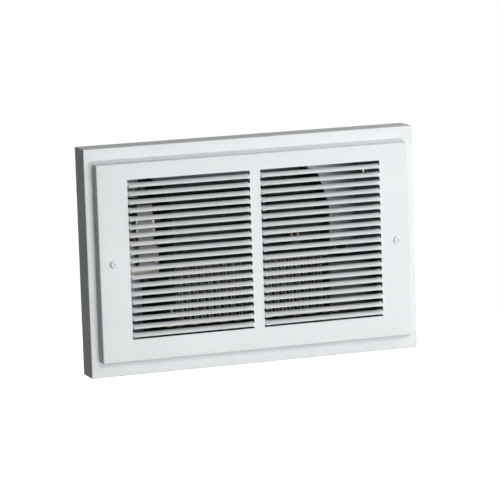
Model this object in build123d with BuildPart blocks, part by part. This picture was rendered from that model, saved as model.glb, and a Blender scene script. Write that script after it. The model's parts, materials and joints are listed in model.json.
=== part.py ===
"""A wall-mounted fan heater with a trim frame, a louvred panel and a can sunk into the wall.

Millimetres. X runs to the right, Z up and Y into the wall. The origin is the middle of the
trim frame on the wall's surface, so the face looks along -Y.
"""

import os
from math import cos, radians, sin

from build123d import *

os.makedirs("parts", exist_ok=True)

# Trim frame
frame_width = 355.0
frame_height = 233.0
frame_depth = 28.5
frame_sheet = 1.0
frame_foot = 6.0
fold_radius = 0.9

# Louvred panel
panel_side_margin = 9.25
panel_end_margin = 15.5
panel_rise = 11.0
panel_sheet = 0.9
panel_overlap = 7.0
mullion_width = 11.2
bank_margin = 32.05
bank_lift = 2.3
top_slot = 1.3
blade_count = 19
blade_pitch = 8.467
blade_kerf = 0.3
blade_angle = 60.0
blade_end_gap = 0.9
neck_width = 3.6
neck_drop = 0.5
neck_bite = 0.4
panel_screw_margin = 14.75

# Wall can
can_depth = 87.0
can_sheet = 0.9
can_gap = 0.3
can_inset = 4.0
ear_height = 36.0
ear_margin = 6.0
ear_root = 5.5
stud_hole_radius = 2.4
stud_hole_inset = 32.0
inlet_radius = 11.1
inlet_inset = 25.1
inlet_height = 24.9

# Fasteners and fits
panel_screw_radius = 2.1
panel_screw_length = 23.0
panel_head_radius = 3.9
panel_head_height = 2.3
small_screw_radius = 1.75
small_head_radius = 3.5
small_head_height = 2.0
recess_width = 1.0
recess_depth = 1.1
tip_chamfer = 0.5
hole_clearance = 0.4
thread_clearance = 0.05
seat_clearance = 0.03
tip_reach = 1.5
clip_sheet = 0.6
clip_width = 12.0
clip_leg = 10.0
clip_gap = 0.1

# Blower
bay_width = 64.0
plate_sheet = 1.0
plate_flange = 9.0
plate_setback = 1.2
plate_lift = 2.0
plate_head = 8.0
plate_corner = 32.0
axis_z = 30.0
wheel_radius = 30.0
wheel_bore_share = 0.75
wheel_gap = 5.0
wheel_disc = 1.2
ring_disc = 0.8
ring_count = 2
fan_blade_count = 28
fan_blade_sheet = 0.7
fan_blade_lean = 13.0
fan_blade_sagitta = 1.5
fan_blade_inset = 0.5
blade_bends = 3
scroll_sheet = 0.8
cutoff_gap = 4.0
cutoff_angle = 75.0
scroll_setback = 2.1
scroll_headroom = 67.0
scroll_spread_radius = 150.0
scroll_spread_angle = 20.0
scroll_turn_radius = 38.0
scroll_turn_angle = 60.0
outlet_setback = 3.2
tongue_gap = 3.5
tongue_start = 190.0
tongue_sweep = 35.0
divider_gap = 5.5
divider_z = -4.5
tab_length = 8.0
tab_reach = 2.0
slot_clearance = 0.2

# Wheel bearings and hub
shaft_radius = 2.5
running_clearance = 0.05
hub_radius = 8.0
hub_length = 12.0
stub_radius = 3.0
stub_flange_radius = 8.0
stub_flange = 2.0
stub_length = 14.0
bush_radius = 5.0
bush_length = 8.0
grommet_radius = 11.0
grommet_seat_radius = 9.0
grommet_length = 7.0

# Motor
motor_standoff = 14.0
stack_length = 16.0
stack_width = 50.0
stack_above_axis = 24.0
stack_below_axis = 42.0
bore_radius = 13.0
air_gap = 0.5
yoke_height = 11.0
window_width = 26.0
window_height = 13.0
bolt_margin = 5.0
bolt_radius = 2.0
nut_radius = 3.9
nut_height = 2.4
spacer_radius = 3.4
bracket_sheet = 1.6
bracket_width = 16.0
bracket_rise = 9.0
bracket_crown = 18.0
bracket_foot = 9.0
bearing_radius = 5.0
bearing_length = 7.0
collar_radius = 4.5
collar_length = 2.0
shaft_overrun = 3.0
coil_overhang = 9.0
bobbin_wall = 1.2
bobbin_gap = 0.3
winding_inset = 0.9
winding_corner = 3.0
shading_wire = 1.6
shading_offset = 15.5
shading_low = 9.6
shading_high = 18.0

# Heating element
element_footroom = 29.0
element_depth = 20.0
element_setback = 2.2
element_sheet = 1.0
element_drop = 2.0
element_gap = 0.3
mica_sheet = 1.2
mica_setback = 4.0
mica_depth = 18.0
ribbon_count = 20
ribbon_inset = 7.7
ribbon_width = 3.0
ribbon_sheet = 0.5
ribbon_spacing = 9.0
ribbon_loop = 1.2
terminal_width = 5.0
terminal_sheet = 0.8
terminal_length = 18.0
terminal_window = 2.4
element_screw_spacing = 32.0

# Thermal cut-out
limit_radius = 7.5
limit_height = 9.0
limit_x = 48.0
limit_setback = 9.2
limit_flange_length = 30.0
limit_flange_width = 10.0
limit_flange_sheet = 0.8
limit_screw_spacing = 23.0
limit_screw_radius = 1.4
limit_head_radius = 2.6
limit_head_height = 1.5
tab_width = 6.3
tab_height = 8.0
tab_sheet = 0.8
tab_spacing = 7.0

# Wiring compartment
box_width = 51.1
box_height = 70.1
box_depth = 52.9
box_gap = 0.2
box_tab_height = 11.0
box_tab_width = 24.0
bushing_radius = 6.0
bushing_rim = 1.5
bushing_bore = 3.6
bushing_length = 7.0
bushing_depth = 28.9
bushing_height = 44.1
ground_inset = 11.1
ground_height = 36.1
ground_radius = 2.0
ground_head_radius = 4.6
ground_washer_radius = 5.6
ground_washer = 0.8

# Widths and heights that follow from the frame's
panel_width = frame_width - 2 * panel_side_margin
panel_height = frame_height - 2 * panel_end_margin
bank_width = (panel_width - mullion_width) / 2 - bank_margin
bank_offset = (bank_width + mullion_width) / 2
screw_spacing = panel_width - 2 * panel_screw_margin
can_width = screw_spacing - 2 * ear_root
can_height = panel_height - 2 * can_inset
ear_tip = screw_spacing / 2 + ear_margin
stud_hole_spacing = can_height - 2 * stud_hole_inset
duct_width = can_width - 2 * bay_width

# Places that several pieces share
panel_face = -frame_depth - panel_rise
sheet_middle = panel_face + panel_sheet / 2
flange_back = -frame_depth + frame_sheet
can_front = flange_back + can_gap
can_back = can_front + can_depth
floor_y = can_back - can_sheet
can_inner_half = can_width / 2 - can_sheet
can_inner_bottom = -can_height / 2 + can_sheet
inlet_x = can_inner_half - inlet_inset
inlet_y = floor_y - inlet_height
stud_hole_y = inlet_y
box_left = can_inner_half - box_width
box_top = can_inner_bottom + box_height
box_front = floor_y - box_depth
bushing_y = floor_y - bushing_depth
bushing_z = can_inner_bottom + bushing_height
ground_x = can_inner_half - ground_inset
ground_z = can_inner_bottom + ground_height
duct_half = duct_width / 2
plate_outer = duct_half + plate_sheet
plate_front = can_front + plate_setback
wheel_half = duct_half - wheel_gap
wheel_bore_radius = wheel_bore_share * wheel_radius
axis_y = floor_y - scroll_setback - scroll_sheet - cutoff_gap - wheel_radius
scroll_drop = can_height / 2 - scroll_headroom
outlet_front = can_front + outlet_setback
divider_front = panel_face + divider_gap
stack_right = -plate_outer - motor_standoff
stack_left = stack_right - stack_length
stack_middle = (stack_right + stack_left) / 2
bolt_offset = stack_width / 2 - bolt_margin
element_height = can_height / 2 - element_footroom
element_half = duct_half - element_gap
ribbon_pitch = 2 * (element_half - ribbon_inset) / (ribbon_count - 1)
limit_y = can_front + limit_setback
element_front = can_front + element_setback
element_back = element_front + element_depth
element_top = divider_z - scroll_sheet / 2 - element_drop
element_bottom = element_top - element_height
element_middle_y = (element_front + element_back) / 2
element_middle_z = (element_top + element_bottom) / 2
mica_top = element_top - element_sheet - mica_setback
mica_bottom = element_bottom + element_sheet + mica_setback
axis_plane = Plane(origin=(0, axis_y, axis_z), x_dir=(0, 1, 0), z_dir=(1, 0, 0))


def facing(y):
    """The upright plane at y, seen from the room: a plus extrudes towards the room."""
    return Plane.XZ.offset(-y)


def pan_screw(radius, length, head_radius, head_height):
    """A cross-head screw: the head's underside is at the origin and the shank runs along Z."""
    with BuildPart() as made:
        with BuildSketch(Plane.XY):
            Circle(head_radius)
        extrude(amount=-head_height)
        chamfer(made.faces().sort_by(Axis.Z).first.edges(), head_height / 3)
        with BuildSketch(Plane.XY.offset(-head_height)):
            Rectangle(head_radius, recess_width)
            Rectangle(recess_width, head_radius)
        extrude(amount=recess_depth, mode=Mode.SUBTRACT)
        with BuildSketch(Plane.XY):
            Circle(radius)
        extrude(amount=length)
        chamfer(made.faces().sort_by(Axis.Z).last.edges(), tip_chamfer)
    return made.part


def hex_screw(length):
    """A sheet-metal screw with a hexagon head, placed as the cross-head screw is."""
    with BuildPart() as made:
        with BuildSketch(Plane.XY):
            RegularPolygon(small_head_radius, 6)
        extrude(amount=-small_head_height)
        with BuildSketch(Plane.XY):
            Circle(small_screw_radius)
        extrude(amount=length)
    return made.part


# Trim frame: one folded channel with a front flange, deep sides and a foot on the wall
opening_width = panel_width - 2 * panel_overlap
opening_height = panel_height - 2 * panel_overlap
with BuildPart() as trim_frame:
    with BuildSketch(facing(0)):
        Rectangle(frame_width, frame_height)
    extrude(amount=frame_depth)
    fillet(trim_frame.faces().sort_by(Axis.Y).first.edges(), fold_radius)
    with BuildSketch(facing(-frame_sheet)):
        Rectangle(frame_width - 2 * frame_sheet, frame_height - 2 * frame_sheet)
    extrude(amount=frame_depth - 2 * frame_sheet, mode=Mode.SUBTRACT)
    with BuildSketch(facing(-frame_depth / 2)):
        Rectangle(opening_width, opening_height)
    extrude(amount=frame_depth / 2, mode=Mode.SUBTRACT)
    with BuildSketch(facing(0)):
        Rectangle(frame_width - 2 * frame_foot, frame_height - 2 * frame_foot)
    extrude(amount=frame_depth / 2, mode=Mode.SUBTRACT)
trim_frame.part.label = "trim_frame"
export_step(trim_frame.part, "parts/trim_frame.step")

# Louvred panel: a shallow tray with two banks of blades twisted out of the one sheet
bank_height = blade_count * blade_pitch + blade_kerf
blade_width = blade_pitch - blade_kerf
blade_length = bank_width - 2 * blade_end_gap
neck_length = blade_end_gap + 2 * neck_bite
with BuildPart() as grille:
    with BuildSketch(facing(-frame_depth)):
        Rectangle(panel_width, panel_height)
    extrude(amount=panel_rise)
    fillet(grille.faces().sort_by(Axis.Y).first.edges(), fold_radius)
    with BuildSketch(facing(-frame_depth)):
        Rectangle(panel_width - 2 * panel_sheet, panel_height - 2 * panel_sheet)
    extrude(amount=panel_rise - panel_sheet, mode=Mode.SUBTRACT)
    with BuildSketch(facing(panel_face)):
        with Locations((0, bank_lift + top_slot / 2)):
            with GridLocations(2 * bank_offset, 1, 2, 1):
                Rectangle(bank_width, bank_height + top_slot)
        with GridLocations(screw_spacing, 1, 2, 1):
            Circle(panel_screw_radius + hole_clearance)
    extrude(amount=-panel_sheet, mode=Mode.SUBTRACT)
    for bank_x in (-bank_offset, bank_offset):
        with BuildSketch(Plane.YZ.offset(bank_x)):
            with Locations((sheet_middle, bank_lift)):
                with GridLocations(1, blade_pitch, 1, blade_count):
                    Rectangle(panel_sheet, blade_width, rotation=-blade_angle)
        extrude(amount=blade_length / 2, both=True)
        with BuildSketch(facing(panel_face)):
            with Locations((bank_x, bank_lift - neck_drop)):
                with GridLocations(bank_width - blade_end_gap, blade_pitch, 2, blade_count):
                    Rectangle(neck_length, neck_width)
        extrude(amount=-panel_sheet)
grille.part.label = "grille"
export_step(grille.part, "parts/grille.step")

# Panel screws
panel_screw = pan_screw(panel_screw_radius, panel_screw_length, panel_head_radius, panel_head_height)
with BuildPart() as grille_screws:
    for side in (-1, 1):
        with Locations(Plane(origin=(side * screw_spacing / 2, panel_face, 0), z_dir=(0, 1, 0))):
            add(panel_screw)
grille_screws.part.label = "grille_screws"
export_step(grille_screws.part, "parts/grille_screws.step")

# Spring nuts that clip over the can's ears and take the panel screws
clip_reach = clip_gap + clip_sheet
with BuildPart() as grille_clips:
    for side in (-1, 1):
        clip_x = side * (ear_tip + clip_reach - clip_leg / 2)
        slot_x = clip_x - side * clip_reach
        with BuildSketch(Plane.XY):
            with Locations((clip_x, can_front + can_sheet / 2)):
                Rectangle(clip_leg, can_sheet + 2 * clip_reach)
            with Locations((slot_x, can_front + can_sheet / 2)):
                Rectangle(clip_leg, can_sheet + 2 * clip_gap, mode=Mode.SUBTRACT)
        extrude(amount=clip_width / 2, both=True)
        with BuildSketch(facing(can_front)):
            with Locations((side * screw_spacing / 2, 0)):
                Circle(panel_screw_radius + thread_clearance)
        extrude(amount=clip_leg, both=True, mode=Mode.SUBTRACT)
grille_clips.part.label = "grille_clips"
export_step(grille_clips.part, "parts/grille_clips.step")

# Wall can: a folded box, open to the room, with two ears for the panel screws
tab_middle_x = (box_left + can_inner_half) / 2
tab_middle_z = box_top + box_tab_height / 2
chassis_screw_x = plate_outer + plate_flange / 2
chassis_screw_top = axis_z + wheel_radius
chassis_screw_bottom = box_top - tab_length
with BuildPart() as wall_can:
    with BuildSketch(facing(can_back)):
        Rectangle(can_width, can_height)
    extrude(amount=can_depth)
    with BuildSketch(facing(floor_y)):
        Rectangle(can_width - 2 * can_sheet, can_height - 2 * can_sheet)
    extrude(amount=can_depth, mode=Mode.SUBTRACT)
    with BuildSketch(facing(can_front + can_sheet)):
        with GridLocations(ear_tip + can_inner_half, 1, 2, 1):
            Rectangle(ear_tip - can_inner_half, ear_height)
        with GridLocations(screw_spacing, 1, 2, 1):
            Circle(panel_screw_radius + hole_clearance, mode=Mode.SUBTRACT)
    extrude(amount=can_sheet)
    with BuildSketch(Plane.YZ):
        with Locations((stud_hole_y, 0)):
            with GridLocations(1, stud_hole_spacing, 1, 2):
                Circle(stud_hole_radius)
    extrude(amount=can_width, both=True, mode=Mode.SUBTRACT)
    with BuildSketch(Plane.XY.offset(-can_height / 2)):
        with Locations((inlet_x, inlet_y)):
            Circle(inlet_radius)
    extrude(amount=can_sheet, mode=Mode.SUBTRACT)
    with BuildSketch(facing(can_back)):
        with GridLocations(2 * chassis_screw_x, 1, 2, 1):
            with Locations((0, chassis_screw_top), (0, chassis_screw_bottom)):
                Circle(small_screw_radius + thread_clearance)
        with Locations((tab_middle_x, tab_middle_z)):
            Circle(small_screw_radius + thread_clearance)
        with Locations((ground_x, ground_z)):
            Circle(ground_radius + thread_clearance)
    extrude(amount=can_sheet, mode=Mode.SUBTRACT)
wall_can.part.label = "wall_can"
export_step(wall_can.part, "parts/wall_can.step")

# Wiring cover: closes the lower right corner of the can
box_right = can_inner_half - box_gap
box_bottom = can_inner_bottom + box_gap
box_back = floor_y - box_gap
with BuildPart() as wiring_cover:
    with BuildSketch(facing(box_back)):
        with Locations(((box_left + box_right) / 2, (box_top + box_bottom) / 2)):
            Rectangle(box_right - box_left, box_top - box_bottom)
    extrude(amount=box_back - box_front)
    with BuildSketch(facing(box_back)):
        with Locations(((box_left + box_right) / 2 + can_sheet, (box_top + box_bottom) / 2 - can_sheet)):
            Rectangle(box_right - box_left, box_top - box_bottom)
    extrude(amount=box_back - box_front - can_sheet, mode=Mode.SUBTRACT)
    with BuildSketch(facing(box_back)):
        with Locations((tab_middle_x, tab_middle_z)):
            Rectangle(box_tab_width, box_tab_height)
            Circle(small_screw_radius + hole_clearance, mode=Mode.SUBTRACT)
    extrude(amount=can_sheet)
    with BuildSketch(Plane.YZ.offset(box_left)):
        with Locations((bushing_y, bushing_z)):
            Circle(bushing_radius)
    extrude(amount=can_sheet, mode=Mode.SUBTRACT)
wiring_cover.part.label = "wiring_cover"
export_step(wiring_cover.part, "parts/wiring_cover.step")

# Its screw, through the tab into the can's back
cover_screw = hex_screw(box_gap + 2 * can_sheet + tip_reach)
with BuildPart() as wiring_cover_screw:
    with Locations(Plane(origin=(tab_middle_x, box_back - can_sheet, tab_middle_z), z_dir=(0, 1, 0))):
        add(cover_screw)
wiring_cover_screw.part.label = "wiring_cover_screw"
export_step(wiring_cover_screw.part, "parts/wiring_cover_screw.step")

# Ground screw: a hexagon head on a washer inside the wiring compartment
with BuildPart() as ground_screw:
    with BuildSketch(facing(floor_y)):
        with Locations((ground_x, ground_z)):
            Circle(ground_washer_radius)
    extrude(amount=ground_washer)
    with BuildSketch(facing(floor_y)):
        with Locations((ground_x, ground_z)):
            RegularPolygon(ground_head_radius, 6)
    extrude(amount=ground_head_radius)
    with BuildSketch(facing(floor_y)):
        with Locations((ground_x, ground_z)):
            Circle(ground_radius)
    extrude(amount=-can_sheet - tip_reach)
ground_screw.part.label = "ground_screw"
export_step(ground_screw.part, "parts/ground_screw.step")

# Snap bushing for the leads in the side of the wiring cover
with BuildPart() as lead_bushing:
    with BuildSketch(Plane(origin=(0, bushing_y, bushing_z), x_dir=(1, 0, 0), z_dir=(0, -1, 0))):
        with BuildLine():
            Polyline(
                (box_left - bushing_length / 2, bushing_bore),
                (box_left - bushing_length / 2, bushing_radius + bushing_rim),
                (box_left, bushing_radius + bushing_rim),
                (box_left, bushing_radius - seat_clearance),
                (box_left + can_sheet, bushing_radius - seat_clearance),
                (box_left + can_sheet, bushing_radius + bushing_rim / 2),
                (box_left + bushing_length / 2, bushing_radius),
                (box_left + bushing_length / 2, bushing_bore),
                close=True,
            )
        make_face()
    revolve(axis=Axis((0, bushing_y, bushing_z), (1, 0, 0)))
lead_bushing.part.label = "lead_bushing"
export_step(lead_bushing.part, "parts/lead_bushing.step")

# Blower: where the sheet pieces hook through the end plates as (y, z, slope)
scroll_radius = wheel_radius + cutoff_gap + scroll_sheet / 2
rear_y = axis_y + scroll_radius
outlet_slope = 90 - scroll_spread_angle - scroll_turn_angle
with BuildLine() as scroll_line:
    cutoff_arc = CenterArc((axis_y, axis_z), scroll_radius, cutoff_angle, -cutoff_angle)
    drop = Line(cutoff_arc @ 1, (rear_y, axis_z - scroll_drop))
    spread = JernArc(drop @ 1, (0, -1), scroll_spread_radius, -scroll_spread_angle)
    turn = JernArc(spread @ 1, spread % 1, scroll_turn_radius, -scroll_turn_angle)
    outlet_reach = (outlet_front - (turn @ 1).X) / (turn % 1).X
    outlet_run = Line(turn @ 1, (turn @ 1) + (turn % 1) * outlet_reach)
outlet_tab = outlet_run @ 0.5
scroll_tabs = [(rear_y, axis_z - scroll_drop / 2, 90), (outlet_tab.X, outlet_tab.Y, outlet_slope)]
tongue_radius = wheel_radius + tongue_gap + scroll_sheet / 2
tongue_back = axis_y + tongue_radius * cos(radians(tongue_start + tongue_sweep))
divider_tab_y = (tongue_back + divider_front) / 2
tongue_tabs = [(divider_tab_y, divider_z, 0)]

# Blower scroll: the sheet behind and below the wheel
with BuildPart() as blower_scroll:
    with BuildSketch(Plane.YZ):
        trace(scroll_line.edges(), line_width=scroll_sheet)
    extrude(amount=duct_half, both=True)
    with BuildSketch(Plane.YZ):
        for y, z, slope in scroll_tabs:
            with Locations((y, z)):
                Rectangle(tab_length, scroll_sheet, rotation=slope)
    extrude(amount=plate_outer + tab_reach, both=True)
blower_scroll.part.label = "blower_scroll"
export_step(blower_scroll.part, "parts/blower_scroll.step")

# Blower tongue: hugs the front of the wheel, then runs forward as the intake's floor
with BuildPart() as blower_tongue:
    with BuildSketch(Plane.YZ):
        with BuildLine():
            tongue_arc = CenterArc((axis_y, axis_z), tongue_radius, tongue_start, tongue_sweep)
            tongue_fall = Line(tongue_arc @ 1, (tongue_back, divider_z))
            Line(tongue_fall @ 1, (divider_front, divider_z))
        trace(line_width=scroll_sheet)
    extrude(amount=duct_half, both=True)
    with BuildSketch(Plane.YZ):
        for y, z, slope in tongue_tabs:
            with Locations((y, z)):
                Rectangle(tab_length, scroll_sheet, rotation=slope)
    extrude(amount=plate_outer + tab_reach, both=True)
    with BuildSketch(Plane.XY.offset(divider_z)):
        with Locations((limit_x, limit_y)):
            Circle(limit_radius + hole_clearance)
            with GridLocations(limit_screw_spacing, 1, 2, 1):
                Circle(limit_screw_radius + thread_clearance)
    extrude(amount=scroll_sheet, both=True, mode=Mode.SUBTRACT)
blower_tongue.part.label = "blower_tongue"
export_step(blower_tongue.part, "parts/blower_tongue.step")

# End plates: carry the wheel, the sheets and the element, and screw to the can's back
plate_top = axis_z + wheel_radius + cutoff_gap + plate_head
plate_bottom = can_inner_bottom + plate_lift
terminal_z = mica_bottom - mica_sheet - terminal_sheet / 2


def plate_blank(side):
    """The end plate on one side, with the openings that both plates have."""
    inner = side * duct_half
    outward = side * plate_sheet
    with BuildPart() as made:
        with BuildSketch(Plane.YZ.offset(inner)):
            Polygon(
                (plate_front, plate_bottom),
                (floor_y, plate_bottom),
                (floor_y, plate_top),
                (plate_front + plate_corner, plate_top),
                (plate_front, plate_top - plate_corner),
                align=None,
            )
            for y, z, slope in scroll_tabs + tongue_tabs:
                with Locations((y, z)):
                    Rectangle(
                        tab_length + 2 * slot_clearance,
                        scroll_sheet + 2 * slot_clearance,
                        rotation=slope,
                        mode=Mode.SUBTRACT,
                    )
            with Locations((element_middle_y, element_middle_z)):
                with GridLocations(1, element_screw_spacing, 1, 2):
                    Circle(small_screw_radius + hole_clearance, mode=Mode.SUBTRACT)
            with Locations((element_middle_y, terminal_z)):
                Rectangle(mica_depth, terminal_window, mode=Mode.SUBTRACT)
        extrude(amount=outward)
        with BuildSketch(facing(floor_y)):
            with Locations((inner + side * (plate_sheet + plate_flange) / 2, (plate_top + plate_bottom) / 2)):
                Rectangle(plate_sheet + plate_flange, plate_top - plate_bottom)
            with Locations(
                (side * chassis_screw_x, chassis_screw_top), (side * chassis_screw_x, chassis_screw_bottom)
            ):
                Circle(small_screw_radius + hole_clearance, mode=Mode.SUBTRACT)
        extrude(amount=plate_sheet)
    return made.part


left_blank = plate_blank(-1)
with BuildPart() as end_plate_left:
    add(left_blank)
    with BuildSketch(axis_plane.offset(-duct_half)):
        Circle(hub_radius)
        with GridLocations(2 * bolt_offset, 1, 2, 1):
            Circle(bolt_radius + hole_clearance)
    extrude(amount=-plate_sheet, mode=Mode.SUBTRACT)
end_plate_left.part.label = "end_plate_left"
export_step(end_plate_left.part, "parts/end_plate_left.step")

right_blank = plate_blank(1)
with BuildPart() as end_plate_right:
    add(right_blank)
    with BuildSketch(axis_plane.offset(duct_half)):
        Circle(grommet_seat_radius)
    extrude(amount=plate_sheet, mode=Mode.SUBTRACT)
end_plate_right.part.label = "end_plate_right"
export_step(end_plate_right.part, "parts/end_plate_right.step")

# Screws that hold the end plates to the can's back
chassis_screw = hex_screw(plate_sheet + can_sheet + tip_reach)
with BuildPart() as chassis_screws:
    for x in (-chassis_screw_x, chassis_screw_x):
        for z in (chassis_screw_top, chassis_screw_bottom):
            with Locations(Plane(origin=(x, floor_y - plate_sheet, z), z_dir=(0, 1, 0))):
                add(chassis_screw)
chassis_screws.part.label = "chassis_screws"
export_step(chassis_screws.part, "parts/chassis_screws.step")

# Cross-flow wheel: curved blades between two end discs and the rings that stiffen them
blade_tip_radius = wheel_radius - fan_blade_inset
tip_y = blade_tip_radius * cos(radians(fan_blade_lean))
tip_z = blade_tip_radius * sin(radians(fan_blade_lean))
with BuildSketch() as fan_blade:
    with BuildLine(mode=Mode.PRIVATE) as blade_line:
        blade_arc = SagittaArc((wheel_bore_radius, 0), (tip_y, tip_z), fan_blade_sagitta)
    with BuildLine():
        Polyline(*[blade_arc @ (bend / blade_bends) for bend in range(blade_bends + 1)])
    trace(line_width=fan_blade_sheet)
ring_pitch = 2 * wheel_half / (ring_count + 1)
with BuildPart() as blower_wheel:
    with BuildSketch(axis_plane):
        with PolarLocations(0, fan_blade_count):
            add(fan_blade.sketch)
    extrude(amount=wheel_half - wheel_disc / 2, both=True)
    with BuildSketch(axis_plane.offset(-wheel_half)):
        Circle(wheel_radius)
        Circle(shaft_radius + hole_clearance, mode=Mode.SUBTRACT)
    extrude(amount=wheel_disc)
    with BuildSketch(axis_plane.offset(wheel_half)):
        Circle(wheel_radius)
        Circle(stub_radius + seat_clearance, mode=Mode.SUBTRACT)
    extrude(amount=-wheel_disc)
    for ring in range(ring_count):
        ring_x = (ring + 1) * ring_pitch - wheel_half
        with BuildSketch(axis_plane.offset(ring_x)):
            Circle(wheel_radius)
            Circle(wheel_bore_radius - fan_blade_inset, mode=Mode.SUBTRACT)
        extrude(amount=ring_disc / 2, both=True)
blower_wheel.part.label = "blower_wheel"
export_step(blower_wheel.part, "parts/blower_wheel.step")

# Hub inside the wheel's left end, clamped to the motor shaft by a set screw
hub_left = -wheel_half + wheel_disc
hub_right = hub_left + hub_length
hub_middle = (hub_left + hub_right) / 2
with BuildPart() as wheel_hub:
    with BuildSketch(axis_plane.offset(hub_left)):
        Circle(hub_radius)
        Circle(shaft_radius + seat_clearance, mode=Mode.SUBTRACT)
    extrude(amount=hub_length)
    with BuildSketch(Plane.XY.offset(axis_z)):
        with Locations((hub_middle, axis_y)):
            Circle(small_screw_radius + thread_clearance)
    extrude(amount=2 * hub_radius, mode=Mode.SUBTRACT)
wheel_hub.part.label = "wheel_hub"
export_step(wheel_hub.part, "parts/wheel_hub.step")

with BuildPart() as hub_set_screw:
    with BuildSketch(Plane.XY.offset(axis_z + shaft_radius + seat_clearance)):
        with Locations((hub_middle, axis_y)):
            Circle(small_screw_radius)
    extrude(amount=hub_radius - shaft_radius + tip_reach / 2)
    with BuildSketch(Plane(hub_set_screw.faces().sort_by(Axis.Z).last)):
        Rectangle(2 * small_screw_radius, recess_width / 2)
    extrude(amount=-recess_depth, mode=Mode.SUBTRACT)
hub_set_screw.part.label = "hub_set_screw"
export_step(hub_set_screw.part, "parts/hub_set_screw.step")

# Stub pin at the wheel's right end
stub_left = wheel_half - wheel_disc - stub_flange
with BuildPart() as wheel_stub_pin:
    with BuildSketch(axis_plane.offset(stub_left)):
        Circle(stub_flange_radius)
    extrude(amount=stub_flange)
    with BuildSketch(axis_plane.offset(stub_left)):
        Circle(stub_radius)
    extrude(amount=stub_flange + stub_length)
    chamfer(wheel_stub_pin.faces().sort_by(Axis.X).last.edges(), tip_chamfer)
wheel_stub_pin.part.label = "wheel_stub_pin"
export_step(wheel_stub_pin.part, "parts/wheel_stub_pin.step")

# Its bush and the rubber grommet that holds the bush in the right end plate
plate_middle = duct_half + plate_sheet / 2
with BuildPart() as end_bearing:
    with BuildSketch(axis_plane.offset(plate_middle)):
        Circle(bush_radius)
        Circle(stub_radius + running_clearance, mode=Mode.SUBTRACT)
    extrude(amount=bush_length / 2, both=True)
end_bearing.part.label = "end_bearing"
export_step(end_bearing.part, "parts/end_bearing.step")

with BuildPart() as bearing_grommet:
    with BuildSketch(axis_plane.offset(plate_middle)):
        Circle(grommet_radius)
    extrude(amount=grommet_length / 2, both=True)
    chamfer(bearing_grommet.edges().filter_by(GeomType.CIRCLE), fold_radius)
    with BuildSketch(axis_plane.offset(plate_middle)):
        Circle(2 * grommet_radius)
        Circle(grommet_seat_radius - seat_clearance, mode=Mode.SUBTRACT)
    extrude(amount=plate_sheet / 2, both=True, mode=Mode.SUBTRACT)
    with BuildSketch(axis_plane.offset(plate_middle)):
        Circle(bush_radius + seat_clearance)
    extrude(amount=grommet_length, both=True, mode=Mode.SUBTRACT)
bearing_grommet.part.label = "bearing_grommet"
export_step(bearing_grommet.part, "parts/bearing_grommet.step")

# Motor stator: a stack of laminations with the rotor bore above and the coil's window below
stack_z = (stack_above_axis - stack_below_axis) / 2
yoke_z = yoke_height / 2 - stack_below_axis
window_z = yoke_height + window_height / 2 - stack_below_axis
wire_hole = shading_wire + 2 * seat_clearance
shading_spots = [
    (shading_offset, shading_low),
    (shading_offset, shading_high),
    (-shading_offset, -shading_low),
    (-shading_offset, -shading_high),
]
with BuildPart() as motor_stator:
    with BuildSketch(axis_plane.offset(stack_middle)):
        with Locations((0, stack_z)):
            RectangleRounded(stack_width, stack_above_axis + stack_below_axis, winding_corner)
        Circle(bore_radius, mode=Mode.SUBTRACT)
        with Locations((0, window_z)):
            Rectangle(window_width, window_height, mode=Mode.SUBTRACT)
        with Locations(*shading_spots):
            Rectangle(wire_hole, wire_hole, mode=Mode.SUBTRACT)
        with GridLocations(2 * bolt_offset, 1, 2, 1):
            Circle(bolt_radius + hole_clearance, mode=Mode.SUBTRACT)
    extrude(amount=stack_length / 2, both=True)
motor_stator.part.label = "motor_stator"
export_step(motor_stator.part, "parts/motor_stator.step")

# Two copper shading rings, one in each pole
shading_middle = (shading_low + shading_high) / 2
shading_span = shading_high - shading_low
ring_overall = stack_length + 2 * seat_clearance + 2 * shading_wire
with BuildPart() as shading_rings:
    for side in (-1, 1):
        ring_plane = Plane.XZ.offset(-axis_y - side * shading_offset)
        with BuildSketch(ring_plane):
            with Locations((stack_middle, axis_z + side * shading_middle)):
                Rectangle(ring_overall, shading_span + shading_wire)
                Rectangle(ring_overall - 2 * shading_wire, shading_span - shading_wire, mode=Mode.SUBTRACT)
        extrude(amount=shading_wire / 2, both=True)
shading_rings.part.label = "shading_rings"
export_step(shading_rings.part, "parts/shading_rings.step")

# Coil: a bobbin slid on the yoke and the winding between its cheeks
coil_plane = Plane(origin=(stack_middle, axis_y, axis_z + yoke_z), x_dir=(1, 0, 0), z_dir=(0, -1, 0))
bobbin_half = window_width / 2 - bobbin_gap
core_x = stack_length + 2 * bobbin_gap
core_z = yoke_height + 2 * bobbin_gap
tube_x = core_x + 2 * bobbin_wall
tube_z = core_z + 2 * bobbin_wall
cheek_x = stack_length + 2 * coil_overhang
cheek_z = yoke_height + 2 * coil_overhang
with BuildPart() as coil_bobbin:
    with BuildSketch(coil_plane):
        Rectangle(tube_x, tube_z)
    extrude(amount=bobbin_half, both=True)
    for cheek in (-1, 1):
        with BuildSketch(coil_plane.offset(cheek * bobbin_half)):
            RectangleRounded(cheek_x, cheek_z, winding_corner)
        extrude(amount=-cheek * bobbin_wall)
    with BuildSketch(coil_plane):
        Rectangle(core_x, core_z)
    extrude(amount=2 * bobbin_half, both=True, mode=Mode.SUBTRACT)
coil_bobbin.part.label = "coil_bobbin"
export_step(coil_bobbin.part, "parts/coil_bobbin.step")

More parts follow.
